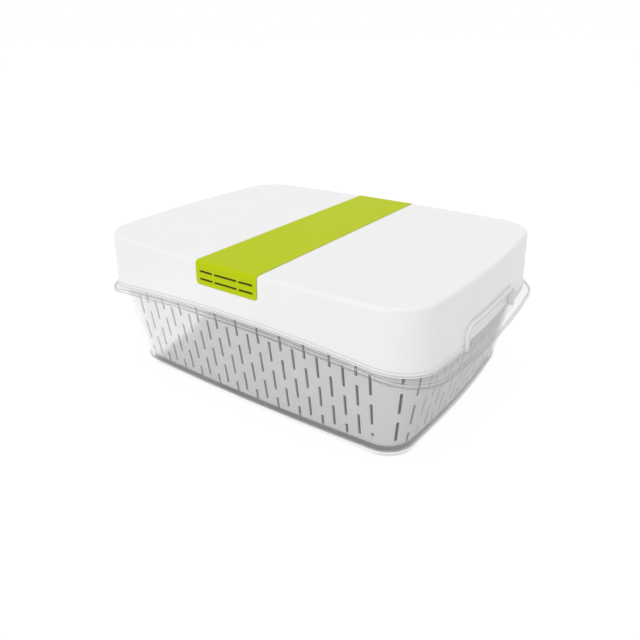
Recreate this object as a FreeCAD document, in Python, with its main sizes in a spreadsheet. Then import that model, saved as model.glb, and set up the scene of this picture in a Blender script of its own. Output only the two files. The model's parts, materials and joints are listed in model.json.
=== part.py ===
# Food storage container: clear tub, slotted basket that hangs in it, vented lid with a band across it.
# Millimetres, +Z up, +X along the length, origin at the middle of the underside of the tub.
import FreeCAD, Part
import Sketcher
import math
import os
from types import SimpleNamespace

os.makedirs("parts", exist_ok=True)
doc = FreeCAD.newDocument("food_storage_container")

# Driving sizes
SIZES = [
    ("end_bow", 1000, "plan radius of every short side"),
    ("side_bow", 2640, "plan radius of every long side"),
    ("form_top", 106, "level to which the side walls are drawn before the arch trims them"),
    ("arch_radius", 1300, "radius of the arch that the rim follows along the length"),
    ("rim_crown", 102.2, "top of the tub's rim at mid length"),
    ("arch_gap", 0.3, "clear gap between arched faces that rest on each other"),
    ("base_length", 341, "tub, length at the floor"),
    ("base_width", 251, "tub, width at the floor"),
    ("base_corner", 28, "tub, plan corner radius at the floor"),
    ("base_round", 2.6, "tub, radius of the bottom edge"),
    ("mouth_length", 374.5, "tub, length of the wall at form_top"),
    ("mouth_width", 277, "tub, width of the wall at form_top"),
    ("mouth_corner", 36, "tub, plan corner radius at form_top"),
    ("tub_wall", 1.8, "tub, wall thickness"),
    ("tub_floor", 2.2, "tub, floor thickness"),
    ("rim_length", 400, "tub rim, overall length"),
    ("rim_width", 294, "tub rim, overall width"),
    ("rim_corner", 46, "tub rim, plan corner radius"),
    ("rim_plate", 2.2, "tub rim, thickness of its top"),
    ("rim_skirt", 5, "tub rim, height of its turned-down edge"),
    ("rim_round", 3.6, "tub rim, radius of its outer top edge"),
    ("basket_level", 6, "underside of the basket"),
    ("basket_length", 337, "basket, length at its floor"),
    ("basket_width", 246, "basket, width at its floor"),
    ("basket_corner", 26, "basket, plan corner radius at its floor"),
    ("basket_round", 5, "basket, radius of its bottom edge"),
    ("basket_top_length", 369.6, "basket, length of the wall at form_top"),
    ("basket_top_width", 272.4, "basket, width of the wall at form_top"),
    ("basket_top_corner", 34, "basket, plan corner radius at form_top"),
    ("basket_wall", 1.6, "basket, wall thickness"),
    ("basket_floor", 1.8, "basket, floor thickness"),
    ("hook_length", 372.4, "basket rim, overall length"),
    ("hook_width", 280, "basket rim, overall width"),
    ("hook_corner", 39, "basket rim, plan corner radius"),
    ("hook_plate", 2, "basket rim, thickness"),
    ("lip_height", 5, "raised lip on the basket rim, height"),
    ("lip_wall", 1.6, "raised lip, thickness"),
    ("lip_inset", 0.6, "raised lip, distance from the basket rim's outer edge"),
    ("slot_width", 2.7, "drain slot, width"),
    ("slot_length", 22, "drain slot, length"),
    ("column_pitch", 12.7, "spacing of the columns of drain slots"),
    ("row_pitch", 31.6, "spacing of the drain slots in one column"),
    ("slot_level", 25.9, "middle of the lowest slot in the middle column"),
    ("slot_crown", 97.5, "arch that ends the upper drain slots, at mid length"),
    ("slot_bite", 4, "how far a wall slot may reach into the basket's floor"),
    ("corner_column_x", 138, "centre from which the corner columns fan out, along X"),
    ("corner_column_y", 92, "centre from which the corner columns fan out, along Y"),
    ("corner_column_steep", 46, "first corner column, degrees from X"),
    ("corner_column_flat", 22, "second corner column, degrees from X"),
    ("slot_reach", 22, "how far the slot tools reach beyond the basket's floor"),
    ("floor_pitch_x", 25.4, "basket floor, slot spacing along X"),
    ("floor_pitch_y", 31.6, "basket floor, slot spacing along Y"),
    ("lid_length", 376, "lid, overall length at the top"),
    ("lid_width", 283, "lid, overall width at the top"),
    ("lid_corner", 40, "lid, plan corner radius at the top"),
    ("lid_top", 148, "level of the lid's top"),
    ("lid_form_foot", 80, "level to which the lid's sides are drawn before the arch trims them"),
    ("lid_flare", 3.2, "how far the lid's sides lean out from top to form foot"),
    ("lid_edge", 3, "lid, radius of the top edge"),
    ("lid_wall", 2.4, "lid, wall thickness"),
    ("border_proud", 0.9, "raised border round the lid's lower edge, height over the wall"),
    ("border_width", 3.8, "raised border and notch frame, width"),
    ("groove_edge", 1.2, "groove in the border and the frame, distance from their inner edge"),
    ("groove_width", 0.7, "groove, width"),
    ("groove_depth", 0.5, "groove, depth"),
    ("notch_width", 110, "finger notch, width"),
    ("notch_top", 107.3, "finger notch, level of its upper edge"),
    ("notch_corner", 9, "finger notch, corner radius"),
    ("frame_proud", 3.2, "frame round a finger notch, height over the wall"),
    ("frame_depth", 3.6, "depth of the frame's turned-in edge"),
    ("notch_depth", 3.1, "finger notch, depth of its back wall"),
    ("notch_wall", 2, "back wall of a finger notch, thickness"),
    ("notch_play", 1.1, "gap under the back wall of a finger notch, over the basket's lip"),
    ("band_width", 71.3, "vent band, width"),
    ("band_foot", 126.4, "vent band, level of its lower edge"),
    ("band_corner", 3.5, "vent band, radius of its lower corners"),
    ("band_proud", 0.4, "vent band, height over the lid"),
    ("band_play", 0.3, "gap round the vent band in its recess"),
    ("recess_depth", 1.5, "depth of the recess that the band lies in"),
    ("channel_wall", 2.2, "wall under the recess"),
    ("vent_upper", 139, "upper row of vent slots, middle level"),
    ("vent_lower", 131.8, "lower row of vent slots, middle level"),
    ("vent_height", 2, "vent slot, height"),
    ("vent_outer", 31, "vent row, half length"),
    ("vent_inner", 14.3, "bar between two vent slots, distance from the middle"),
    ("vent_bar", 2.3, "bar between two vent slots, width"),
    ("window_width", 61.8, "window behind the vents, width"),
    ("window_foot", 128.6, "window behind the vents, lower edge"),
    ("window_head", 141.8, "window behind the vents, upper edge"),
    ("tray_width", 65.6, "filter tray, width"),
    ("tray_foot", 127, "filter tray, lower edge"),
    ("tray_head", 143, "filter tray, upper edge"),
    ("tray_depth", 5, "filter tray, depth"),
    ("tray_wall", 1.6, "filter tray, wall thickness"),
    ("tray_play", 0.15, "gap between a tray and its collar"),
    ("collar_wall", 1.6, "collar round a tray, wall thickness"),
    ("pad_play", 0.1, "gap between a filter pad and its tray"),
    ("pad_window_gap", 0.5, "gap between a filter pad and the window it stands in"),
    ("grille_slot", 4, "opening in the back of a filter tray, width"),
    ("grille_pitch", 6.4, "spacing of the openings in the back of a filter tray"),
]
sheet = doc.addObject("Spreadsheet::Sheet", "Sizes")
for row, (alias, number, note) in enumerate(SIZES, start=1):
    sheet.set(f"A{row}", note)
    sheet.set(f"B{row}", str(number))
    sheet.setAlias(f"B{row}", alias)
doc.recompute()


class Size:
    """A size as a number, with the sheet expression that gives the same number."""

    def __init__(self, value, text=None):
        self.value = value
        self.text = text or f"({value})"

    def joined(self, sign, other, value):
        return Size(value, f"({self.text} {sign} {as_size(other).text})")

    def __add__(self, other):
        return self.joined("+", other, self.value + as_size(other).value)

    def __sub__(self, other):
        return self.joined("-", other, self.value - as_size(other).value)

    def __mul__(self, other):
        return self.joined("*", other, self.value * as_size(other).value)

    def __truediv__(self, other):
        return self.joined("/", other, self.value / as_size(other).value)

    def __rsub__(self, other):
        return as_size(other) - self

    def __neg__(self):
        return 0 - self

    __radd__ = __add__
    __rmul__ = __mul__


def as_size(number):
    return number if isinstance(number, Size) else Size(number)


S = SimpleNamespace(**{alias: Size(number, f"Sizes.{alias}") for alias, number, _ in SIZES})
FAR = 600  # reach of the tools that cut right through
HALF = FAR / 2
ROUND_STEPS = 4  # outlines that a rounded edge is drawn through
SHARP = 0.5  # edge radius at or under which a form is left sharp


# Helpers
def bind(thing, **sizes):
    """Ties properties to the sheet; x, y and z stand for the position."""
    for name, size in sizes.items():
        path = f"Placement.Base.{name}" if name in "xyz" else name
        thing.setExpression(path, as_size(size).text)


def outline(body, name, level, plan):
    """Closed outline of four bowed sides and four corners; plan is length, width, corner radius."""
    length, width, corner = plan
    sketch = body.newObject("Sketcher::SketchObject", name)
    flat = next(f for f in body.Origin.OriginFeatures if f.Role == "XY_Plane")
    sketch.AttachmentSupport = [(flat, "")]
    sketch.MapMode = "FlatFace"
    sketch.setExpression("AttachmentOffset.Base.z", as_size(level).text)

    # The corner circle touches both bows from inside: its centre is where two circles meet.
    end_set, side_set = S.end_bow - length / 2, S.side_bow - width / 2
    end_reach, side_reach = (S.end_bow - corner).value, (S.side_bow - corner).value
    bx, sy, r = end_set.value, side_set.value, corner.value
    span = math.hypot(bx, sy)
    along = (end_reach ** 2 - side_reach ** 2 + span ** 2) / (2 * span)
    across = math.sqrt(end_reach ** 2 - along ** 2)
    cx = -bx + (along * bx + across * sy) / span
    cy = (-along * sy + across * bx) / span
    turn_end = math.atan2(cy, cx + bx)
    turn_side = math.atan2(cy + sy, cx)

    quarter, half, full = math.pi / 2, math.pi, 2 * math.pi
    arcs = [
        (-bx, 0, S.end_bow.value, -turn_end, turn_end),
        (cx, cy, r, turn_end, turn_side),
        (0, -sy, S.side_bow.value, turn_side, half - turn_side),
        (-cx, cy, r, half - turn_side, half - turn_end),
        (bx, 0, S.end_bow.value, half - turn_end, half + turn_end),
        (-cx, -cy, r, half + turn_end, half + turn_side),
        (0, sy, S.side_bow.value, half + turn_side, full - turn_side),
        (cx, -cy, r, full - turn_side, full - turn_end),
    ]
    for x, y, radius, start, stop in arcs:
        circle = Part.Circle(FreeCAD.Vector(x, y, 0), FreeCAD.Vector(0, 0, 1), radius)
        sketch.addGeometry(Part.ArcOfCircle(circle, start, stop), False)

    start_point, end_point, centre, origin, x_axis, y_axis = 1, 2, 3, (-1, 1), -1, -2
    right, rear, left, front = 0, 2, 4, 6
    rule = lambda *terms: sketch.addConstraint(Sketcher.Constraint(*terms))
    for i in range(8):
        rule("Tangent", i, end_point, (i + 1) % 8, start_point)
    for i in (right, left):
        rule("PointOnObject", i, centre, x_axis)
    for i in (rear, front):
        rule("PointOnObject", i, centre, y_axis)
    for i, k in ((right, left), (rear, front), (1, 3), (3, 5), (5, 7)):
        rule("Equal", i, k)
    named = [
        ("end_radius", S.end_bow, rule("Radius", right, S.end_bow.value)),
        ("side_radius", S.side_bow, rule("Radius", rear, S.side_bow.value)),
        ("corner_radius", corner, rule("Radius", 1, r)),
        ("right_centre", end_set, rule("DistanceX", right, centre, *origin, bx)),
        ("left_centre", end_set, rule("DistanceX", *origin, left, centre, bx)),
        ("rear_centre", side_set, rule("DistanceY", rear, centre, *origin, sy)),
        ("front_centre", side_set, rule("DistanceY", *origin, front, centre, sy)),
    ]
    for label, size, index in named:
        sketch.renameConstraint(index, label)
        sketch.setExpression(f"Constraints.{label}", size.text)
    return sketch


def form(name, foot, foot_plan, head, head_plan, foot_round=None, head_round=None):
    """Solid between two outlines; foot_round or head_round is the radius of that end's edge."""
    foot, head = as_size(foot), as_size(head)
    body = doc.addObject("PartDesign::Body", name)

    def plan_at(level, inset):
        part = (level - foot) / (head - foot)
        mixed = [low + (high - low) * part for low, high in zip(foot_plan, head_plan)]
        return shrunk(mixed, inset)

    def section(word, level, inset=0):
        return outline(body, f"{name}_{word}", level, plan_at(level, as_size(inset)))

    def loft(word, sections, ruled):
        doc.recompute()
        part = body.newObject("PartDesign::AdditiveLoft", f"{name}_{word}")
        part.Profile = sections[0]
        part.Sections = sections[1:]
        part.Ruled = ruled

    def bend(word, end, radius, inwards):
        """Outlines from the flat end to the wall, on a quarter circle sheared with the wall."""
        sections = []
        for k in range(ROUND_STEPS + 1):
            turn = k * math.pi / 2 / ROUND_STEPS
            rise = inwards * radius * (1 - math.cos(turn))
            sections.append(section(f"{word}_{k}", end + rise, radius * (1 - math.sin(turn))))
        return sections

    bottom = bend("foot", foot, foot_round, 1) if foot_round else [section("foot", foot)]
    top = bend("head", head, head_round, -1) if head_round else [section("head", head)]
    if foot_round:
        loft("foot_round", bottom, False)
    loft("wall", [bottom[-1], top[-1]], True)
    if head_round:
        loft("head_round", top[::-1], False)
    doc.recompute()
    return body


def shrunk(plan, inset):
    """Plan sizes moved inwards by inset all round."""
    length, width, corner = plan
    return length - 2 * inset, width - 2 * inset, corner - inset


def block(name, x, y, z):
    """Box from three (low, high) pairs."""
    box = doc.addObject("Part::Box", name)
    (x0, x1), (y0, y1), (z0, z1) = [[as_size(v) for v in pair] for pair in (x, y, z)]
    bind(box, Length=x1 - x0, Width=y1 - y0, Height=z1 - z0, x=x0, y=y0, z=z0)
    return box


def arch(name, crown):
    """Everything under the arch whose top is at crown, as a long lying cylinder."""
    drum = doc.addObject("Part::Cylinder", name)
    drum.Placement.Rotation = FreeCAD.Rotation(FreeCAD.Vector(1, 0, 0), -90)
    bind(drum, Radius=S.arch_radius, Height=FAR, y=-HALF, z=crown - S.arch_radius)
    return drum


def fused(name, *things):
    joined = doc.addObject("Part::MultiFuse", name)
    joined.Shapes = list(things)
    return joined


def common(name, *things):
    shared = doc.addObject("Part::MultiCommon", name)
    shared.Shapes = list(things)
    return shared


def cut(name, base, *tools):
    """Base with every tool taken away."""
    for i, tool in enumerate(tools):
        left = doc.addObject("Part::Cut", name if i == len(tools) - 1 else f"{name}_less_{tool.Name}")
        left.Base, left.Tool = base, tool
        base = left
    return base


def group(name, things):
    bundle = doc.addObject("Part::Compound", name)
    bundle.Links = list(things)
    return bundle


def rounded_along(name, base, radius, picks):
    """Base with the edges rounded for which picks(edge) holds."""
    doc.recompute()
    rounding = doc.addObject("Part::Fillet", name)
    rounding.Base = base
    r = radius.value
    rounding.Edges = [(i, r, r) for i, edge in enumerate(base.Shape.Edges, start=1) if picks(edge)]
    return rounding


def under_rim(name, rise=0):
    """Everything under the rim's arch, moved up by rise."""
    return arch(name, S.rim_crown + rise)


def on_arch(edge, crown):
    """Whether an edge lies on the arch with this crown."""
    radius = S.arch_radius.value
    level = lambda x: crown.value - radius + math.sqrt(radius ** 2 - x ** 2)
    return all(abs(v.Z - level(v.X)) < 1e-4 for v in edge.Vertexes)


# Tub: tapered wall, arched rim with a turned-down edge
def make_container():
    foot = (S.base_length, S.base_width, S.base_corner)
    mouth = (S.mouth_length, S.mouth_width, S.mouth_corner)
    rim = (S.rim_length, S.rim_width, S.rim_corner)
    outside = form("tub_outside", 0, foot, S.form_top, mouth, S.base_round)
    inside = form("tub_inside", S.tub_floor, shrunk(foot, S.tub_wall), S.form_top,
                  shrunk(mouth, S.tub_wall), S.base_round - S.tub_wall)
    rim_block = form("rim_block", 0, rim, S.form_top, rim)
    rim_core = form("rim_core", 0, shrunk(rim, S.tub_wall), S.form_top, shrunk(rim, S.tub_wall))

    slab = cut("rim_slab", common("rim_top", rim_block, under_rim("rim_top_arch")),
               under_rim("rim_foot_arch", -S.rim_skirt))
    soft_slab = rounded_along("rim_soft", slab, S.rim_round, lambda e: on_arch(e, S.rim_crown))
    hollow = common("rim_hollow", rim_core, under_rim("rim_plate_arch", -S.rim_plate))
    wall = common("tub_wall_solid", outside, under_rim("tub_wall_arch"))
    solid = fused("tub_solid", cut("rim_shell", soft_slab, hollow), wall)
    return cut("container", solid, inside)


# Basket: slotted tub that hangs by its rim on the outer rim
def drain_rows(odd_column, distance):
    """(low, high) of each slot in a column this far along X; odd columns are half a pitch lower."""
    middle = S.slot_level - S.row_pitch / 2 if odd_column else S.slot_level
    ceiling = S.slot_crown - distance * distance / (2 * S.arch_radius)
    for i in range(3):
        low = middle + i * S.row_pitch - S.slot_length / 2
        high = low + S.slot_length
        yield low, high if high.value < ceiling.value else ceiling


def wall_columns(name, count, on_long_side):
    """Slots through two facing walls, count columns to each side of the middle."""
    side = S.basket_width if on_long_side else S.basket_length
    near, far = side / 2 - S.slot_bite, side / 2 + S.slot_reach
    slots = []
    for i in range(-count, count + 1):
        middle = i * S.column_pitch
        width = (middle - S.slot_width / 2, middle + S.slot_width / 2)
        distance = middle if on_long_side else S.basket_top_length / 2
        for k, rows in enumerate(drain_rows(i % 2, distance)):
            for word, reach in (("low", (-far, -near)), ("high", (near, far))):
                x, y = (width, reach) if on_long_side else (reach, width)
                slots.append(block(f"{name}_{i + count}_{k}_{word}", x, y, rows))
    return slots


def corner_columns(name, turn_from_x, odd_column):
    """One column of slots at each corner, fanned out by an angle from X."""
    fans = []
    near = S.basket_corner - S.slot_bite
    width = (-S.slot_width / 2, S.slot_width / 2)
    rows = list(drain_rows(odd_column, S.basket_length / 2))
    for i, (along, across) in enumerate(((1, 1), (-1, 1), (-1, -1), (1, -1))):
        slots = [
            block(f"{name}_{i}_{k}", (near, near + S.slot_bite + S.slot_reach), width, row)
            for k, row in enumerate(rows)
        ]
        fan = group(f"{name}_{i}", slots)
        fan.Placement.Rotation = FreeCAD.Rotation(FreeCAD.Vector(0, 0, 1), 1)
        turn = across * (turn_from_x if along > 0 else 180 - turn_from_x)
        fan.setExpression("Placement.Rotation.Angle", f"{turn.text} * 1 deg")
        bind(fan, x=along * S.corner_column_x, y=across * S.corner_column_y)
        fans.append(fan)
    return fans


def floor_slots(name, columns, rows):
    """Staggered slots through the basket's floor."""
    slots = []
    for i in range(-columns, columns + 1):
        middle = i * S.floor_pitch_x
        for k in range(-rows, rows + 1 - i % 2):
            shift = (k + 0.5 * (i % 2)) * S.floor_pitch_y
            slots.append(block(
                f"{name}_{i + columns}_{k + rows}",
                (middle - S.slot_width / 2, middle + S.slot_width / 2),
                (shift - S.slot_length / 2, shift + S.slot_length / 2),
                (0, S.basket_level + 2 * S.basket_floor),
            ))
    return slots


def make_basket():
    foot = (S.basket_length, S.basket_width, S.basket_corner)
    mouth = (S.basket_top_length, S.basket_top_width, S.basket_top_corner)
    hook = (S.hook_length, S.hook_width, S.hook_corner)
    inner_floor = S.basket_level + S.basket_floor
    outside = form("basket_outside", S.basket_level, foot, S.form_top, mouth, S.basket_round)
    inside = form("basket_inside", inner_floor, shrunk(foot, S.basket_wall), S.form_top,
                  shrunk(mouth, S.basket_wall), S.basket_round - S.basket_wall)
    hook_block = form("hook_block", 0, hook, S.form_top, hook)
    hook_top = S.arch_gap + S.hook_plate

    wall = common("basket_wall_solid", outside, under_rim("basket_wall_arch", hook_top))
    plate = cut("hook_plate", common("hook_top", hook_block, under_rim("hook_top_arch", hook_top)),
                under_rim("hook_foot_arch", S.arch_gap))
    lip_plan = shrunk(hook, S.lip_inset)
    core_plan = shrunk(lip_plan, S.lip_wall)
    lip_crown = S.form_top + S.lip_height
    lip_ring = cut("lip_ring", form("lip_block", 0, lip_plan, lip_crown, lip_plan),
                   form("lip_core", 0, core_plan, lip_crown, core_plan))
    lip = cut("basket_lip", common("lip_top", lip_ring, under_rim("lip_top_arch", hook_top + S.lip_height)),
              under_rim("lip_foot_arch", S.arch_gap))
    shell = cut("basket_shell", fused("basket_solid", wall, plate, lip), inside)

    long_count = int((S.corner_column_x + S.column_pitch / 2).value / S.column_pitch.value)
    end_count = int((S.corner_column_y + S.column_pitch / 2).value / S.column_pitch.value)
    floor_count = int((S.corner_column_x / S.floor_pitch_x).value)
    slots = group("drain_slots", [
        *wall_columns("long_slot", long_count, True),
        *wall_columns("end_slot", end_count, False),
        *corner_columns("steep_slot", S.corner_column_steep, False),
        *corner_columns("flat_slot", S.corner_column_flat, True),
        *floor_slots("floor_slot", floor_count, 2),
    ])
    return cut("basket", shell, slots)


# Lid: shell with a recess for the band, windows and collars for the filter trays
def lid_form(name, inset):
    """The lid's outer form moved inwards by inset."""
    head = (S.lid_length, S.lid_width, S.lid_corner)
    foot = shrunk(head, -S.lid_flare)
    edge = S.lid_edge - inset
    return form(name, S.lid_form_foot, shrunk(foot, inset), S.lid_top - inset, shrunk(head, inset),
                head_round=edge if edge.value > SHARP else None)


def notch_block(name, grow):
    """Finger notch through both short ends, grown by a margin."""
    half = S.notch_width / 2 + grow
    raw = block(f"{name}_raw", (-HALF, HALF), (-half, half), (0, S.notch_top + grow))
    top = (S.notch_top + grow).value
    along_x = lambda e: all(abs(v.Z - top) < 1e-6 for v in e.Vertexes) and e.Length > HALF
    return rounded_along(name, raw, S.notch_corner + grow, along_x)


def band_block(name, grow):
    """Space of the vent band, grown by a margin."""
    half = S.band_width / 2 + grow
    foot = S.band_foot - grow
    raw = block(f"{name}_raw", (-half, half), (-HALF, HALF), (foot, HALF))
    along_y = lambda e: all(abs(v.Z - foot.value) < 1e-6 for v in e.Vertexes) and e.Length > HALF
    return rounded_along(name, raw, S.band_corner + grow, along_y)


def beyond(side, distance):
    """(low, high) of the space further out than distance on the front (-1) or rear (1)."""
    return (distance, HALF) if side > 0 else (-HALF, -distance)


def tray_block(name, side, grow, back):
    """Space of one filter tray out to the lid's wall, grown by a margin."""
    half = S.tray_width / 2 + grow
    return block(name, (-half, half), beyond(side, back), (S.tray_foot - grow, S.tray_head + grow))


def make_lid():
    outer, cavity = lid_form("lid_outer", as_size(0)), lid_form("lid_cavity", S.lid_wall)
    shell = cut("lid_shell", outer, cavity)

    band = common("strip_band", cut("strip_ring", lid_form("strip_outer", -S.border_proud), cavity),
                  under_rim("strip_arch", S.arch_gap + S.border_width))
    groove_foot = S.arch_gap + S.groove_edge
    groove_slab = cut("groove_slab", under_rim("groove_top_arch", groove_foot + S.groove_width),
                      under_rim("groove_foot_arch", groove_foot))
    strip = cut("lid_strip", band, cut("strip_groove", groove_slab,
                                       lid_form("groove_floor", S.groove_depth - S.border_proud)))

    ring = cut("frame_ring", lid_form("frame_outer", -S.frame_proud),
               lid_form("frame_inner", S.frame_depth))
    frame_bed = common("frame_bed", ring, notch_block("frame_block", S.border_width))
    groove_loop = cut("groove_loop", notch_block("loop_outer", S.groove_edge + S.groove_width),
                      notch_block("loop_inner", S.groove_edge))
    frame = cut("notch_frame", frame_bed, cut("frame_groove", groove_loop, lid_form(
        "loop_floor", S.groove_depth - S.frame_proud)))

    back_form = lid_form("back_outer", S.notch_depth)
    back_ring = cut("back_ring", back_form, lid_form("back_inner", S.notch_depth + S.notch_wall))
    back = cut("notch_back", common("back_bed", back_ring, notch_block("back_block", S.border_width)),
               under_rim("back_arch", S.arch_gap + S.hook_plate + S.lip_height + S.notch_play))
    pocket = cut("notch_pocket", notch_block("notch_space", 0), back_form)

    channel_inset = S.recess_depth + S.channel_wall
    recess_form = lid_form("recess_form", S.recess_depth)
    channel_form = lid_form("channel_form", channel_inset)
    channel = common("lid_channel", cut("channel_ring", recess_form, channel_form),
                     band_block("channel_block", S.band_play + S.channel_wall))
    recess = cut("band_recess", band_block("recess_block", S.band_play), recess_form)

    collars = []
    for side, word in ((-1, "front"), (1, "rear")):
        collar = tray_block(f"collar_{word}_block", side, S.tray_play + S.collar_wall, TRAY_BACK)
        space = tray_block(f"collar_{word}_space", side, S.tray_play, TRAY_BACK - S.tray_depth)
        collars.append(cut(f"collar_{word}", common(f"collar_{word}_solid", collar, recess_form),
                           common(f"collar_{word}_bore", space, channel_form)))

    half = S.window_width / 2
    window = block("window", (-half, half), (-HALF, HALF), (S.window_foot, S.window_head))
    solid = fused("lid_solid", shell, strip, frame, back, channel, *collars)
    return cut("lid", solid, recess, window, under_rim("lid_arch", S.arch_gap), pocket)


# Vent band: strap over the lid with two rows of slots in each fold
def make_band():
    ring = cut("band_ring", lid_form("band_outer", -S.band_proud),
               lid_form("band_inner", S.recess_depth - S.arch_gap))
    strap = common("band_strap", ring, band_block("band_space", as_size(0)))
    bar = S.vent_bar / 2
    spans = (
        (-S.vent_outer, -S.vent_inner - bar),
        (-S.vent_inner + bar, S.vent_inner - bar),
        (S.vent_inner + bar, S.vent_outer),
    )
    slots = [
        block(f"vent_{i}_{k}", span, (-HALF, HALF), (level - S.vent_height / 2, level + S.vent_height / 2))
        for i, level in enumerate((S.vent_upper, S.vent_lower))
        for k, span in enumerate(spans)
    ]
    return cut("vent_band", strap, group("vents", slots))


# Filters: a tray with an open grille at its back, and the pad that fills it and the window
def make_filter(side, word):
    pad_half = S.window_width / 2 - S.pad_window_gap
    pad_rows = (S.window_foot + S.pad_window_gap, S.window_head - S.pad_window_gap)
    pad_back = TRAY_BACK + S.tray_wall
    pad_form = lid_form(f"pad_{word}_form", S.recess_depth)
    pad_space = block(f"pad_{word}_space", (-pad_half, pad_half), beyond(side, pad_back), pad_rows)
    pad = common(f"filter_pad_{word}", pad_space, pad_form)

    play = S.pad_play
    pocket = block(f"tray_{word}_pocket", (-pad_half - play, pad_half + play),
                   beyond(side, pad_back - play), (pad_rows[0] - play, pad_rows[1] + play))
    count = int((pad_half.value - S.grille_slot.value / 2) / S.grille_pitch.value)
    openings = [
        block(f"grille_{word}_{i + count}",
              (i * S.grille_pitch - S.grille_slot / 2, i * S.grille_pitch + S.grille_slot / 2),
              beyond(side, TRAY_BACK - S.tray_wall),
              (pad_rows[0] + S.tray_wall, pad_rows[1] - S.tray_wall))
        for i in range(-count, count + 1)
    ]
    tray_form = lid_form(f"tray_{word}_form", S.recess_depth + S.channel_wall + S.tray_play)
    blank = common(f"tray_{word}_blank", tray_block(f"tray_{word}_space", side, as_size(0), TRAY_BACK),
                   tray_form)
    tray = cut(f"filter_tray_{word}", blank, pocket, group(f"grille_{word}", openings))
    return tray, pad


TRAY_BACK = S.lid_width / 2 - S.recess_depth - S.channel_wall - S.tray_play - S.tray_depth

nodes = [make_container(), make_basket(), make_lid(), make_band()]
for side, word in ((-1, "front"), (1, "rear")):
    nodes += make_filter(side, word)
doc.recompute()

# Test and export
for thing in doc.Objects:
    if "Invalid" in thing.State or "Error" in thing.State:
        raise RuntimeError(f"{thing.Name} did not compute: {thing.State}")
for node in nodes:
    shape = node.Shape
    if shape.isNull() or not shape.isValid() or len(shape.Solids) != 1:
        raise RuntimeError(f"{node.Label}: {len(shape.Solids)} solids, valid {shape.isValid()}")
    box = shape.optimalBoundingBox(False)
    print(f"{node.Label}: {shape.Volume / 1000:.1f} cm3, x {box.XMin:.1f}..{box.XMax:.1f}, "
          f"y {box.YMin:.1f}..{box.YMax:.1f}, z {box.ZMin:.1f}..{box.ZMax:.1f}")
    shape.exportStep(f"parts/{node.Label}.step")
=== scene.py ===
# %% [markdown]
# # A food storage container in Blender
# The object is a clear tub with a slotted basket in it, and a white lid with a lime vent band.
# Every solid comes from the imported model, in metres, with the origin at the middle of the underside.
# This lesson gives each solid a finish made of nodes, and then lights and frames it as a picture.

# %% Load the frame
import json
import math

import bpy
from mathutils import Matrix, Vector

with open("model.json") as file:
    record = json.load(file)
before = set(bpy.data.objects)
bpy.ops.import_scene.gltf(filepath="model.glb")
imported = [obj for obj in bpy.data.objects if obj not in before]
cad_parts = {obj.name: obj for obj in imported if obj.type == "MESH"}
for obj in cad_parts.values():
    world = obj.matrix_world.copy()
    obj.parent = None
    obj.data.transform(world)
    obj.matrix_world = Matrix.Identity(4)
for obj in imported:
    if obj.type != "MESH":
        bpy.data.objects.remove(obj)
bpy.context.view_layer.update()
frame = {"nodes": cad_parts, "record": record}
for name, piece in sorted(frame["nodes"].items()):
    print(name, len(piece.data.polygons), "faces")

# %% [markdown]
# ## The camera
# The picture was taken from the front right, a little above the lid. The angles and the place below were
# worked out from the straight edges of the lid and the rim, so the lens needs no shift.
# Blender turns a camera about its own axes, so the turn is built from three plain rotations. A Track To
# constraint would aim it too, but it would leave the small roll of the picture out.

# %% Camera
AZIMUTH, ELEVATION, ROLL = 35.37, 25.98, -0.44
CAMERA_PLACE = (0.3384, -0.4772, 0.3266)
IMAGE_SIDE, FOCAL_PIXELS, SENSOR = 640, 582.1, 36.0

camera_data = bpy.data.cameras.new("product_camera")
camera_data.sensor_width = SENSOR
camera_data.lens = FOCAL_PIXELS * SENSOR / IMAGE_SIDE
camera = bpy.data.objects.new("product_camera", camera_data)
bpy.context.scene.collection.objects.link(camera)
camera.matrix_world = (
    Matrix.Translation(CAMERA_PLACE)
    @ Matrix.Rotation(math.radians(AZIMUTH), 4, "Z")
    @ Matrix.Rotation(math.radians(90 - ELEVATION), 4, "X")
    @ Matrix.Rotation(math.radians(ROLL), 4, "Z")
)
bpy.context.scene.camera = camera
print("lens", round(camera_data.lens, 2), "mm")

# %% [markdown]
# ## Small helpers for nodes
# A node tree is easier to read when each node is one line, so `node` adds one and fills its sockets.
# `feed` decides what goes into a socket: another node's socket is linked, and anything else is written
# in as a constant. The other helpers are the few nodes that every finish needs.


# %% Node helpers
def feed(tree, socket, value):
    """Links value to the socket if it is another node's socket, and else writes it in."""
    if isinstance(value, bpy.types.NodeSocket):
        tree.links.new(value, socket)
    else:
        socket.default_value = value


def node(tree, kind, settings=None, **sockets):
    """Adds a node; settings are its fields, sockets say what goes in, by name with _ for a space."""
    made = tree.nodes.new(kind)
    for field, value in (settings or {}).items():
        setattr(made, field, value)
    for label, value in sockets.items():
        feed(tree, made.inputs[label.replace("_", " ")], value)
    return made


def math_node(tree, operation, first, second=0.0):
    """Socket of a Math node; each operand is a number or a socket."""
    made = node(tree, "ShaderNodeMath", {"operation": operation})
    feed(tree, made.inputs[0], first)
    feed(tree, made.inputs[1], second)
    return made.outputs[0]


def ramp(tree, value, low, high, start=0.0, end=1.0):
    """Socket that runs from start to end while value runs from low to high, and stays there."""
    made = node(tree, "ShaderNodeMapRange", Value=value, From_Min=low, From_Max=high,
                To_Min=start, To_Max=end)
    return made.outputs["Result"]


def blend(tree, share, first, second):
    """Socket of the colour between first and second; each is a colour or a socket."""
    made = node(tree, "ShaderNodeMix", {"data_type": "RGBA"})
    for index, value in ((0, share), (6, first), (7, second)):
        feed(tree, made.inputs[index], value)
    return made.outputs[2]


def grey(level):
    """A colour without hue."""
    return (level, level, level, 1.0)


print("half grey is", grey(0.5))

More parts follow.
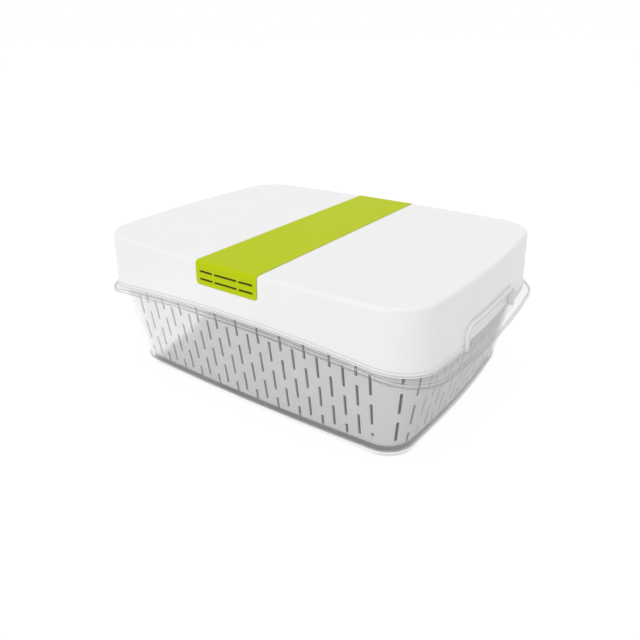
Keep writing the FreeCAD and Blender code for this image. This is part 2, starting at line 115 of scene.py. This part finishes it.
# %% [markdown]
# ## What moulded plastic does to light
# Plastic that comes out of a steel mould is never one flat colour. It has a fine spark-eroded grain that
# only shows in a raking light, and the melt leaves wide, faint clouds where it cooled at its own speed.
# Each material could have its own noise, but then the grain would differ from piece to piece by chance.
# One shared node group makes both from noise on Object coordinates, so the grain has its real size
# everywhere.


# %% Group helpers
def group(name, inputs, outputs):
    """An empty node group with float inputs (name, default) and outputs (name, socket type)."""
    tree = bpy.data.node_groups.new(name, "ShaderNodeTree")
    for label, default in inputs:
        socket = tree.interface.new_socket(label, in_out="INPUT", socket_type="NodeSocketFloat")
        socket.default_value = default
    for label, kind in outputs:
        tree.interface.new_socket(label, in_out="OUTPUT", socket_type=kind)
    return tree, tree.nodes.new("NodeGroupInput"), tree.nodes.new("NodeGroupOutput")


def placed(tree, shared, **values):
    """The shared group as a node in a material's tree, with its own values."""
    return node(tree, "ShaderNodeGroup", {"node_tree": shared}, **values)


# %% Moulded skin group
moulded_skin, skin_in, skin_out = group(
    "moulded_skin",
    [("Grain size", 0.0005), ("Cloud size", 0.08)],
    [("Grain", "NodeSocketFloat"), ("Clouds", "NodeSocketFloat")],
)
place = node(moulded_skin, "ShaderNodeTexCoord").outputs["Object"]
grain_scale = math_node(moulded_skin, "DIVIDE", 1.0, skin_in.outputs["Grain size"])
cloud_scale = math_node(moulded_skin, "DIVIDE", 1.0, skin_in.outputs["Cloud size"])
fine = node(moulded_skin, "ShaderNodeTexNoise", Vector=place, Scale=grain_scale, Detail=2.0,
            Roughness=0.6)
wide = node(moulded_skin, "ShaderNodeTexNoise", Vector=place, Scale=cloud_scale, Detail=1.5,
            Distortion=0.8)
feed(moulded_skin, skin_out.inputs["Grain"], fine.outputs["Fac"])
feed(moulded_skin, skin_out.inputs["Clouds"], wide.outputs["Fac"])
print("group", moulded_skin.name, "with", len(moulded_skin.nodes), "nodes")

# %% [markdown]
# ## Edges that catch the light
# No moulded edge is truly sharp: it has a radius of some tenths of a millimetre, and that thin round is
# what draws a light line along it. A Bevel modifier would cut the rounds into the mesh. The Bevel node
# only bends the normal near an edge, so the solids stay as they are. The same bent normal also tells
# where an edge is, as it differs from the plain one there.

# %% Soft edge group
SAME_NORMAL, BENT_NORMAL = 0.99, 0.80

soft_edge, edge_in, edge_out = group(
    "soft_edge",
    [("Radius", 0.0005)],
    [("Normal", "NodeSocketVector"), ("Edge", "NodeSocketFloat")],
)
rounded = node(soft_edge, "ShaderNodeBevel", {"samples": 6}, Radius=edge_in.outputs["Radius"])
plain = node(soft_edge, "ShaderNodeNewGeometry").outputs["Normal"]
likeness = node(soft_edge, "ShaderNodeVectorMath", {"operation": "DOT_PRODUCT"})
feed(soft_edge, likeness.inputs[0], rounded.outputs["Normal"])
feed(soft_edge, likeness.inputs[1], plain)
# The finishes use this edge mask to paint highlights and, on the clear tub, dark and light lines.
edge_mask = ramp(soft_edge, likeness.outputs["Value"], SAME_NORMAL, BENT_NORMAL)
feed(soft_edge, edge_out.inputs["Normal"], rounded.outputs["Normal"])
feed(soft_edge, edge_out.inputs["Edge"], edge_mask)
print("group", soft_edge.name, "with", len(soft_edge.nodes), "nodes")

# %% [markdown]
# ## Creases with painted shade
# Where two walls meet, or a groove runs, less light gets in, and this group paints that shade into the
# colour. Pointiness would find creases too, but only as finely as the mesh is cut. Ambient Occlusion
# measures how shut in a point is within a short reach, on any mesh. One group turns that into a mask,
# which is 0 in the open and 1 deep in a crease, and every opaque plastic uses it with its own reach. It
# looks at the piece's own walls only, as the clear tub round the basket doesn't shut any light out.

# %% Crease group
OPEN_TO_ROOM, SHUT_IN, CREASE_POWER = 0.85, 0.15, 1.5

crease, crease_in, crease_out = group(
    "crease",
    [("Reach", 0.004)],
    [("Shade", "NodeSocketFloat")],
)
openness = node(crease, "ShaderNodeAmbientOcclusion", {"samples": 8, "only_local": True},
                Distance=crease_in.outputs["Reach"]).outputs["AO"]
# The mask is highest where the least light gets in; the finishes paint shade with it.
crease_depth = ramp(crease, openness, OPEN_TO_ROOM, SHUT_IN)
crease_mask = math_node(crease, "POWER", crease_depth, CREASE_POWER)
feed(crease, crease_out.inputs["Shade"], crease_mask)
print("group", crease.name, "with", len(crease.nodes), "nodes")

# %% [markdown]
# ## Opaque plastics
# The lid, the basket, the band and the trays are the same kind of finish with other colours: a colour
# that drifts a little with the clouds, painted shade in the creases, a painted highlight that pales it
# at the edges, and a gloss that the grain breaks up. Four copied node trees could do it, but one
# function keeps them alike. The constant sheen stays on the shader itself. In the slots of the basket
# the thin white wall lets light bleed in, so its crease colour is painted light, paler than its face,
# while the others are painted darker.


# %% Opaque plastic
PLASTIC_IOR = 1.49


def opaque_plastic(name, colour, drift, painted_edge_highlight, painted_crease_colour, rough, grain_height,
                   rough_spread=0.05, edge_radius=0.0005, specular=0.5, reach=0.004):
    """Principled plastic; drift is the clouds' second colour, rough_spread how far gloss varies."""
    material = bpy.data.materials.new(name)
    material.use_nodes = True
    tree = material.node_tree
    shader = tree.nodes["Principled BSDF"]
    skin = placed(tree, moulded_skin)
    edge = placed(tree, soft_edge, Radius=edge_radius)
    shade = placed(tree, crease, Reach=reach)

    tone = blend(tree, skin.outputs["Clouds"], colour, drift)
    # Painted shade in the creases; on the basket it is painted light, as its crease colour is paler.
    shaded = blend(tree, shade.outputs["Shade"], tone, painted_crease_colour)
    # Painted highlight: the colour pales along the edges.
    feed(tree, shader.inputs["Base Color"], blend(tree, edge.outputs["Edge"], shaded, painted_edge_highlight))

    gloss = ramp(tree, skin.outputs["Clouds"], 0.0, 1.0, rough - rough_spread, rough + rough_spread)
    feed(tree, shader.inputs["Roughness"], gloss)

    bump = node(tree, "ShaderNodeBump", Height=skin.outputs["Grain"], Normal=edge.outputs["Normal"],
                Strength=1.0, Distance=grain_height)
    feed(tree, shader.inputs["Normal"], bump.outputs["Normal"])
    shader.inputs["Specular IOR Level"].default_value = specular
    shader.inputs["IOR"].default_value = PLASTIC_IOR
    return material


# %% The four opaque plastics
# Edge colours are painted highlights; crease colours are painted shade, or painted light on the basket.
white_plastic = opaque_plastic(
    "white_plastic", colour=grey(0.87), drift=grey(0.855), painted_edge_highlight=grey(0.93),
    painted_crease_colour=grey(0.30), rough=0.36, grain_height=0.00001)
basket_plastic = opaque_plastic(
    "basket_plastic", colour=grey(0.71), drift=grey(0.68), painted_edge_highlight=grey(0.78),
    painted_crease_colour=grey(0.98), rough=0.42, grain_height=0.00002)
tray_plastic = opaque_plastic(
    "tray_plastic", colour=grey(0.82), drift=grey(0.80), painted_edge_highlight=grey(0.88),
    painted_crease_colour=grey(0.30), rough=0.45, grain_height=0.00002)
lime_plastic = opaque_plastic(
    "lime_plastic", colour=(0.50, 0.60, 0.001, 1), drift=(0.48, 0.58, 0.001, 1),
    painted_edge_highlight=(0.55, 0.64, 0.01, 1), painted_crease_colour=(0.18, 0.22, 0.001, 1),
    rough=0.55, grain_height=0.00001, specular=0.1)
print("opaque:", [m.name for m in (white_plastic, basket_plastic, tray_plastic, lime_plastic)])

# %% [markdown]
# ## Clear plastic
# The tub is a thin wall of clear plastic. A Glass shader would bend light as a solid block does, and
# would be slow to clear of noise, but a thin wall hardly bends what is behind it. So it is a mix of
# Transparent and Glossy, which also lets light pass to the basket. A ray that meets the wall head on
# goes nearly straight through and loses a few per cent to the tint. A ray that grazes it has a longer
# way through, so it comes out darker, and more of it is mirrored. Schlick's formula gives the mirrored
# share from the facing f, which is 0 head on and 1 at grazing: R = a + b f^5, with a smaller b than a
# polished pane has.

# %% Clear plastic masks
CLEAR_EDGE_RADIUS, CLEAR_CLOUDS = 0.0014, 0.05
EDGE_LIT, EDGE_DARK = (0.0, 0.08), (0.15, 0.45)
FOOT_LINE, FOOT_BAND = 0.0013, 0.0042
LINE_BLUR, BAND_BLUR = 0.0002, 0.0003

clear_plastic = bpy.data.materials.new("clear_plastic")
clear_plastic.use_nodes = True
clear_tree = clear_plastic.node_tree
clear_tree.nodes.remove(clear_tree.nodes["Principled BSDF"])
clear_skin = placed(clear_tree, moulded_skin, Cloud_size=CLEAR_CLOUDS)
clear_edge = placed(clear_tree, soft_edge, Radius=CLEAR_EDGE_RADIUS)
facing = node(clear_tree, "ShaderNodeLayerWeight", Blend=0.5).outputs["Facing"]
clear_place = node(clear_tree, "ShaderNodeTexCoord").outputs["Object"]
level = node(clear_tree, "ShaderNodeSeparateXYZ", Vector=clear_place).outputs["Z"]

# Edge masks for the painted dark line and the painted light line beside it.
dark_edge = ramp(clear_tree, clear_edge.outputs["Edge"], *EDGE_DARK)
beside_edge = ramp(clear_tree, clear_edge.outputs["Edge"], *EDGE_LIT)
lit_edge = math_node(clear_tree, "SUBTRACT", beside_edge, dark_edge)
# Masks by height for the painted grey line and the painted bright band at the foot.
foot_shade_line = ramp(clear_tree, level, FOOT_LINE + LINE_BLUR, FOOT_LINE - LINE_BLUR)
over_line = ramp(clear_tree, level, FOOT_LINE - LINE_BLUR, FOOT_LINE + LINE_BLUR)
under_band_top = ramp(clear_tree, level, FOOT_BAND + BAND_BLUR, FOOT_BAND - BAND_BLUR)
foot_highlight_band = math_node(clear_tree, "MULTIPLY", over_line, under_band_top)
print("clear foot: line to", FOOT_LINE, "m, bright band to", FOOT_BAND, "m")

# %% [markdown]
# ### Its tint and its mirror
# Along the moulded edges the way through the wall is longest, so the tint is painted darker there, as
# painted shade, and just beside it the round of the edge is painted to mirror more of the room, a
# painted highlight which draws a light line next to the dark one. The round at the foot of the wall
# gathers the light of the floor, so a band of it is painted to mirror more, a painted highlight, over
# a thin grey line of painted shade where the tub stands.

# %% Clear plastic shader
# AT_EDGE and AT_FOOT paint shade into the tint; MIRROR_EDGE and MIRROR_FOOT paint highlights.
HEAD_ON, CLOUDED, GRAZING, AT_EDGE, AT_FOOT = 0.978, 0.968, 0.80, 0.20, 0.55
MIRROR_LEAST, MIRROR_MORE, MIRROR_EDGE, MIRROR_FOOT = 0.055, 0.40, 0.75, 0.85
TINT_POWER, MIRROR_POWER = 3.0, 5.0
MIRROR_ROUGH = (0.03, 0.10)

tint = blend(clear_tree, clear_skin.outputs["Clouds"], grey(HEAD_ON), grey(CLOUDED))
tint = blend(clear_tree, math_node(clear_tree, "POWER", facing, TINT_POWER), tint, grey(GRAZING))
tint = blend(clear_tree, dark_edge, tint, grey(AT_EDGE))
tint = blend(clear_tree, foot_shade_line, tint, grey(AT_FOOT))

mirrored = math_node(clear_tree, "POWER", facing, MIRROR_POWER)
mirrored = math_node(clear_tree, "MULTIPLY", mirrored, MIRROR_MORE)
mirrored = math_node(clear_tree, "ADD", mirrored, MIRROR_LEAST)
for mask, most in ((lit_edge, MIRROR_EDGE), (foot_highlight_band, MIRROR_FOOT)):
    mirrored = math_node(clear_tree, "MAXIMUM", mirrored, math_node(clear_tree, "MULTIPLY", mask, most))

clear_through = node(clear_tree, "ShaderNodeBsdfTransparent", Color=tint)
clear_mirror = node(clear_tree, "ShaderNodeBsdfGlossy", Color=grey(1.0),
                    Roughness=ramp(clear_tree, clear_skin.outputs["Clouds"], 0.0, 1.0, *MIRROR_ROUGH),
                    Normal=clear_edge.outputs["Normal"])
clear_mix = node(clear_tree, "ShaderNodeMixShader", Fac=mirrored)
feed(clear_tree, clear_mix.inputs[1], clear_through.outputs[0])
feed(clear_tree, clear_mix.inputs[2], clear_mirror.outputs[0])
feed(clear_tree, clear_tree.nodes["Material Output"].inputs["Surface"], clear_mix.outputs[0])
print("clear:", clear_plastic.name, "lets", round(HEAD_ON ** 2, 3), "of the light through head on")

# %% [markdown]
# ## Carbon felt
# Behind the vents stands a black filter pad. Felt is a mat of fibres without a direction. Real strands
# would be heavy, and only narrow slots show it, so its colour and its bump both come from one noise
# that is warped until it looks like tangled fibres.

# %% Filter felt
FIBRES_PER_METRE, FIBRE_HEIGHT = 1400.0, 0.0004

filter_felt = bpy.data.materials.new("filter_felt")
filter_felt.use_nodes = True
felt_tree = filter_felt.node_tree
felt_shader = felt_tree.nodes["Principled BSDF"]
felt_place = node(felt_tree, "ShaderNodeTexCoord").outputs["Object"]
felt_fibres = node(felt_tree, "ShaderNodeTexNoise", Vector=felt_place, Scale=FIBRES_PER_METRE,
                   Detail=4.0, Roughness=0.7, Distortion=2.5).outputs["Fac"]
felt_tone = blend(felt_tree, felt_fibres, grey(0.008), grey(0.045))
felt_bump = node(felt_tree, "ShaderNodeBump", Height=felt_fibres, Strength=0.8,
                 Distance=FIBRE_HEIGHT)
feed(felt_tree, felt_shader.inputs["Base Color"], felt_tone)
feed(felt_tree, felt_shader.inputs["Normal"], felt_bump.outputs["Normal"])
felt_shader.inputs["Roughness"].default_value = 0.95
felt_shader.inputs["Specular IOR Level"].default_value = 0.2
felt_shader.inputs["Sheen Weight"].default_value = 0.25
print("felt:", filter_felt.name)

# %% [markdown]
# ## Each solid gets its finish
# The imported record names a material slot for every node. A table from slot to finish is all that is
# needed, and the CAD meshes stay untouched: only what their slots hold is changed.

# %% Assign the finishes
FINISHES = {
    "clear_plastic": clear_plastic,
    "basket_plastic": basket_plastic,
    "white_plastic": white_plastic,
    "lime_plastic": lime_plastic,
    "tray_plastic": tray_plastic,
    "filter_felt": filter_felt,
}
for part in frame["record"]["subparts"]:
    piece = frame["nodes"][part["node"]]
    if not piece.material_slots:
        piece.data.materials.append(None)
    for held in piece.material_slots:
        held.material = FINISHES[part["material_slot"]]
    print(piece.name, "<-", part["material_slot"])

# %% [markdown]
# ## The floor
# The picture has a plain white ground. A sheet that curves up at the back would do for one view, but a
# wide flat floor looks the same from every side. It carries the container and takes its soft shadow.

# %% Floor
FLOOR_REACH = 40.0
FLOOR_GRAIN = 900.0

floor_mesh = bpy.data.meshes.new("floor")
floor_mesh.from_pydata(
    [(-FLOOR_REACH, -FLOOR_REACH, 0), (FLOOR_REACH, -FLOOR_REACH, 0),
     (FLOOR_REACH, FLOOR_REACH, 0), (-FLOOR_REACH, FLOOR_REACH, 0)],
    [], [(0, 1, 2, 3)],
)
floor = bpy.data.objects.new("floor", floor_mesh)
bpy.context.scene.collection.objects.link(floor)

floor_finish = bpy.data.materials.new("floor_finish")
floor_finish.use_nodes = True
floor_mesh.materials.append(floor_finish)
floor_tree = floor_finish.node_tree
floor_shader = floor_tree.nodes["Principled BSDF"]
floor_place = node(floor_tree, "ShaderNodeTexCoord").outputs["Object"]
floor_cloth = node(floor_tree, "ShaderNodeTexNoise", Vector=floor_place, Scale=FLOOR_GRAIN, Detail=2.0)
floor_tone = blend(floor_tree, floor_cloth.outputs["Fac"], grey(0.87), grey(0.89))
feed(floor_tree, floor_shader.inputs["Base Color"], floor_tone)
floor_shader.inputs["Roughness"].default_value = 0.9
floor_shader.inputs["Specular IOR Level"].default_value = 0.1
print("floor", 2 * FLOOR_REACH, "m wide")

# %% [markdown]
# ## White without more light
# Stronger lamps would turn the ground white, and burn out the lid with it. So for rays from the camera,
# and for those that a gloss or the clear wall passes on, the floor and the room show white by Light
# Path. The floor shows most of that white and some of its own shade, so a faint shadow stays. Under the
# foot of the tub, which is a rectangle with round corners, a mask lets it show more of its shade,
# because the light seldom gets there; the shade is rendered, but its patch is a painted shadow.


# %% How white the floor is shown
def seen_directly(tree):
    """1 for camera, glossy and transmission rays, 0 for the rest."""
    path = node(tree, "ShaderNodeLightPath")
    first = math_node(tree, "MAXIMUM", path.outputs["Is Camera Ray"], path.outputs["Is Glossy Ray"])
    return math_node(tree, "MAXIMUM", first, path.outputs["Is Transmission Ray"])


FLOOR_SHOWN_WHITE = 0.86
FOOT_SIZE, FOOT_CORNER = (0.3335, 0.2435), 0.026
FOOT_FADE, FOOT_SHOWN_WHITE = (-0.004, 0.0005), 0.25

floor_axes = node(floor_tree, "ShaderNodeSeparateXYZ", Vector=floor_place)
past_corner = []
for axis, length in zip("XY", FOOT_SIZE):
    distance = math_node(floor_tree, "ABSOLUTE", floor_axes.outputs[axis])
    past = math_node(floor_tree, "SUBTRACT", distance, length / 2 - FOOT_CORNER)
    past_corner.append(math_node(floor_tree, "MAXIMUM", past, 0.0))
corner_way = node(floor_tree, "ShaderNodeCombineXYZ", X=past_corner[0], Y=past_corner[1])
from_corner = node(floor_tree, "ShaderNodeVectorMath", {"operation": "LENGTH"})
feed(floor_tree, from_corner.inputs[0], corner_way.outputs["Vector"])
beyond_foot = math_node(floor_tree, "SUBTRACT", from_corner.outputs["Value"], FOOT_CORNER)
# Painted shadow: the floor shows less white in the shape of the foot.
in_the_open = ramp(floor_tree, beyond_foot, *FOOT_FADE, FOOT_SHOWN_WHITE, 1.0)
shown_white = math_node(floor_tree, "MULTIPLY", seen_directly(floor_tree), FLOOR_SHOWN_WHITE)
shown_white = math_node(floor_tree, "MULTIPLY", shown_white, in_the_open)
print("floor shown white", FLOOR_SHOWN_WHITE, "and", FOOT_SHOWN_WHITE, "of that under the tub")

# %% [markdown]
# ## A streak for the clear wall
# The left end of the clear wall mirrors something bright. A lamp there would light the lid as well, so
# a lit patch lies on the floor at the front left that only gloss can see. Its edge wavers a little.
# Like a slanted card, it shines to the right only, so the left end of the lid doesn't mirror it when
# it is seen from behind.

# %% Lit patch and floor shader
FLOOR_WHITE, SWEEP_LIGHT = 1.06, 2.7
SWEEP_EDGE, SWEEP_WAVER, SWEEP_WAVES = -0.145, 0.006, 30.0
SWEEP_FADE = (SWEEP_EDGE + 0.004, SWEEP_EDGE - 0.012)
SWEEP_BACK, SWEEP_END, SWEEP_TURN = (-0.100, -0.125), (-0.40, -0.33), (-0.10, 0.05)

waves = node(floor_tree, "ShaderNodeTexNoise", Vector=floor_place, Scale=SWEEP_WAVES, Detail=2.0)
waver = ramp(floor_tree, waves.outputs["Fac"], 0.3, 0.7, -SWEEP_WAVER, SWEEP_WAVER)
sweep = math_node(floor_tree, "ADD", floor_axes.outputs["X"], waver)
sweep = ramp(floor_tree, sweep, *SWEEP_FADE)
towards = node(floor_tree, "ShaderNodeNewGeometry").outputs["Incoming"]
towards = node(floor_tree, "ShaderNodeSeparateXYZ", Vector=towards)
to_the_right = math_node(floor_tree, "SUBTRACT", towards.outputs["X"], towards.outputs["Y"])
for side in (ramp(floor_tree, floor_axes.outputs["Y"], *SWEEP_BACK),
             ramp(floor_tree, floor_axes.outputs["X"], *SWEEP_END),
             ramp(floor_tree, to_the_right, *SWEEP_TURN),
             node(floor_tree, "ShaderNodeLightPath").outputs["Is Glossy Ray"]):
    sweep = math_node(floor_tree, "MULTIPLY", sweep, side)

floor_white = node(floor_tree, "ShaderNodeEmission", Color=grey(FLOOR_WHITE),
                   Strength=ramp(floor_tree, sweep, 0.0, 1.0, 1.0, SWEEP_LIGHT))
floor_mix = node(floor_tree, "ShaderNodeMixShader", Fac=shown_white)
feed(floor_tree, floor_mix.inputs[1], floor_shader.outputs[0])
feed(floor_tree, floor_mix.inputs[2], floor_white.outputs[0])
feed(floor_tree, floor_tree.nodes["Material Output"].inputs["Surface"], floor_mix.outputs[0])
print("floor shader with", len(floor_tree.nodes), "nodes")

# %% [markdown]
# ## The room
# A photographed room as a world picture would give the white pieces marks that the product picture
# doesn't have. An even grey-white room fits it, and it too shows plain white to the rays named above.

# %% World
ROOM_LIGHT = 0.77

world = bpy.data.worlds.new("room")
world.use_nodes = True
room_tree = world.node_tree
background = room_tree.nodes["Background"]
background.inputs["Color"].default_value = grey(1.0)
room_strength = ramp(room_tree, seen_directly(room_tree), 0.0, 1.0, ROOM_LIGHT, 1.0)
feed(room_tree, background.inputs["Strength"], room_strength)
bpy.context.scene.world = world
print("room light", ROOM_LIGHT)

# %% [markdown]
# ## Studio lights
# One wide soft box stands well in front and gives the front of the lid its brightness. A fainter one
# overhead lifts the top. The right end gets only what the room sends, so it stays a little darker, as
# in the picture. Spot lamps would draw hard shadows, which the picture doesn't have. Area lights are
# aimed by turning their own -Z axis towards the container.


# %% Lights
def soft_box(name, place, aim, size, watts):
    """A square area light at place that faces aim."""
    data = bpy.data.lights.new(name, "AREA")
    data.shape, data.size, data.energy = "SQUARE", size, watts
    lamp = bpy.data.objects.new(name, data)
    bpy.context.scene.collection.objects.link(lamp)
    turn = (Vector(aim) - Vector(place)).to_track_quat("-Z", "Y").to_matrix().to_4x4()
    lamp.matrix_world = Matrix.Translation(place) @ turn


soft_box("front_box", place=(0.1, -2.2, 0.85), aim=(0, 0, 0.08), size=1.6, watts=11.0)
soft_box("top_box", place=(0.0, 0.1, 1.5), aim=(0, 0, 0.1), size=1.1, watts=3.6)

# %% [markdown]
# ## Picture settings
# The Standard view shows colours as they are written.

# %% Finish
bpy.context.scene.view_settings.view_transform = "Standard"
